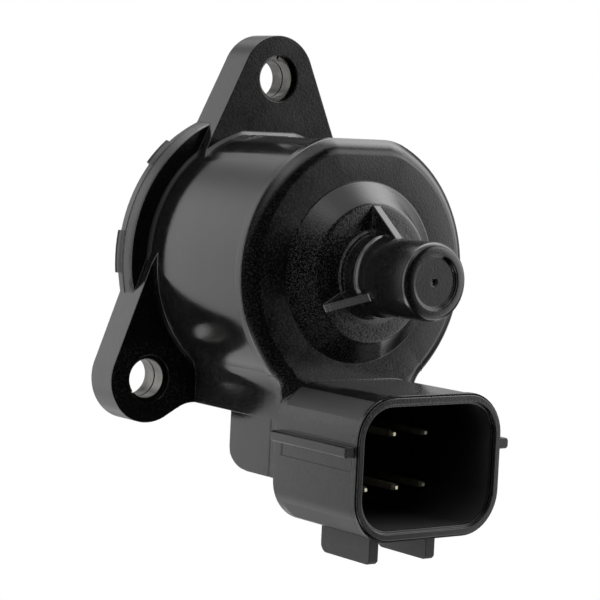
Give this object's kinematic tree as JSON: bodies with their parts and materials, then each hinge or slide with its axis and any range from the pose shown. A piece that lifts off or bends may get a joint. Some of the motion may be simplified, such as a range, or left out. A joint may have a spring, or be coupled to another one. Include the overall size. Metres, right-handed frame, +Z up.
{
  "type": "idle air control valve",
  "caption": "Bolt-on idle air control valve: flanged plastic can with a blind nose, sleeved ears, a hanging plug socket and a spring-loaded pintle on the mounting side.",
  "frame": {"origin": "on the valve axis, at the plane of the flange's mounting face, inside the pilot spigot's wall", "axes": "+Y along the valve axis out of the mounting face towards the throttle body and the pintle, -Y towards the blind nose and the plug mouth, +Z up towards the upper ear, away from the plug socket"},
  "size_m": [0.0459, 0.0674, 0.0697],
  "materials": {
    "housing_plastic": "moulded glass filled plastic, fine grain with smoother patches",
    "cover_plastic": "moulded plastic, matte",
    "seal_rubber": "smooth rubber",
    "bearing_steel": "ground steel",
    "bearing_balls": "polished steel",
    "cage_brass": "pressed brass",
    "bush_bronze": "sintered bronze",
    "spring_steel": "drawn spring wire and strip",
    "stator_iron": "zinc plated drawn steel",
    "bobbin_plastic": "natural moulded plastic",
    "winding_copper": "enamelled copper wire",
    "hub_plastic": "moulded acetal",
    "magnet_ferrite": "ground ferrite",
    "screw_steel": "rolled stainless steel",
    "pintle_plastic": "moulded heat resistant plastic",
    "sleeve_steel": "rolled and plated steel",
    "terminal_tin": "tin plated bronze"
  },
  "bodies": {
    "stator_and_housing": {"housing": "housing_plastic", "upper_ear_sleeve": "sleeve_steel", "lower_ear_sleeve": "sleeve_steel", "terminal_1": "terminal_tin", "terminal_2": "terminal_tin", "terminal_3": "terminal_tin", "terminal_4": "terminal_tin", "terminal_5": "terminal_tin", "terminal_6": "terminal_tin", "pilot_cover": "cover_plastic", "pilot_o_ring": "seal_rubber", "bearing_outer_race": "bearing_steel", "bearing_balls": "bearing_balls", "bearing_cage": "cage_brass", "nose_bush": "bush_bronze", "preload_washer": "spring_steel", "front_stator_cup": "stator_iron", "rear_stator_cup": "stator_iron", "front_pole_plate": "stator_iron", "rear_pole_plate": "stator_iron", "front_bobbin": "bobbin_plastic", "rear_bobbin": "bobbin_plastic", "front_winding": "winding_copper", "rear_winding": "winding_copper", "return_spring": "spring_steel"},
    "rotor": {"rotor_hub": "hub_plastic", "ring_magnet": "magnet_ferrite", "bearing_inner_race": "bearing_steel"},
    "plunger": {"lead_screw": "screw_steel", "pintle": "pintle_plastic"}
  },
  "joints": [
    {"name": "rotor_spin", "type": "hinge", "parent": "stator_and_housing", "child": "rotor", "pos_m": [0, 0, 0], "axis": [0, 1, 0], "range_deg": [0, 1440]},
    {"name": "pintle_slide", "type": "slide", "parent": "stator_and_housing", "child": "plunger", "axis": [0, -1, 0], "range_m": [0, 0.008], "deforming": ["return_spring"]}
  ],
  "couplings": [
    {"joint": "pintle_slide", "follows": "rotor_spin", "m_per_rad": 0.00031831}
  ]
}
